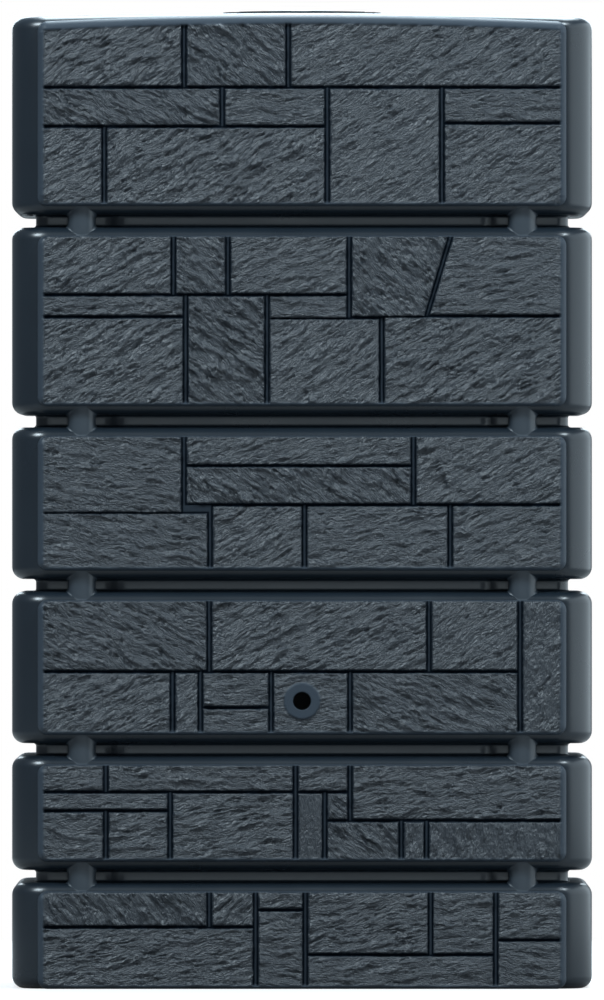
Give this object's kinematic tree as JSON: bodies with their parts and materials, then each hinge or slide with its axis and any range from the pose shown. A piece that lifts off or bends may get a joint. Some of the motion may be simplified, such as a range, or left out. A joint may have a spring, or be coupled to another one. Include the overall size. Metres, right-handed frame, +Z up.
{
  "type": "rainwater tank",
  "caption": "Slim upright wall tank for rainwater with coursed-stone front panels, square grooves, a screw-in filler lid and a round tap port.",
  "frame": {"origin": "middle of the tank's footprint, on the ground", "axes": "+Z up, the stone front with the tap port faces -Y, the back that stands against a wall faces +Y, +X to the right seen from the front"},
  "size_m": [0.714, 0.4, 1.2065],
  "materials": {
    "tank_plastic": "satin, dark slate grey polyethylene",
    "lid_plastic": "satin, dark slate grey polyethylene",
    "seal_rubber": "matt black rubber"
  },
  "bodies": {
    "tank": {"tank_body": "tank_plastic"},
    "seal": {"lid_seal": "seal_rubber"},
    "lid": {"lid": "lid_plastic"}
  },
  "joints": [
    {"name": "lid_rise", "type": "slide", "parent": "tank", "child": "seal", "axis": [0, 0, 1], "range_m": [0, 0.014]},
    {"name": "lid_turn", "type": "hinge", "parent": "seal", "child": "lid", "pos_m": [0, 0, 1.2], "axis": [0, 0, 1], "range_deg": [0, 720]}
  ],
  "couplings": [
    {"joint": "lid_rise", "follows": "lid_turn", "m_per_rad": 0.001114}
  ]
}
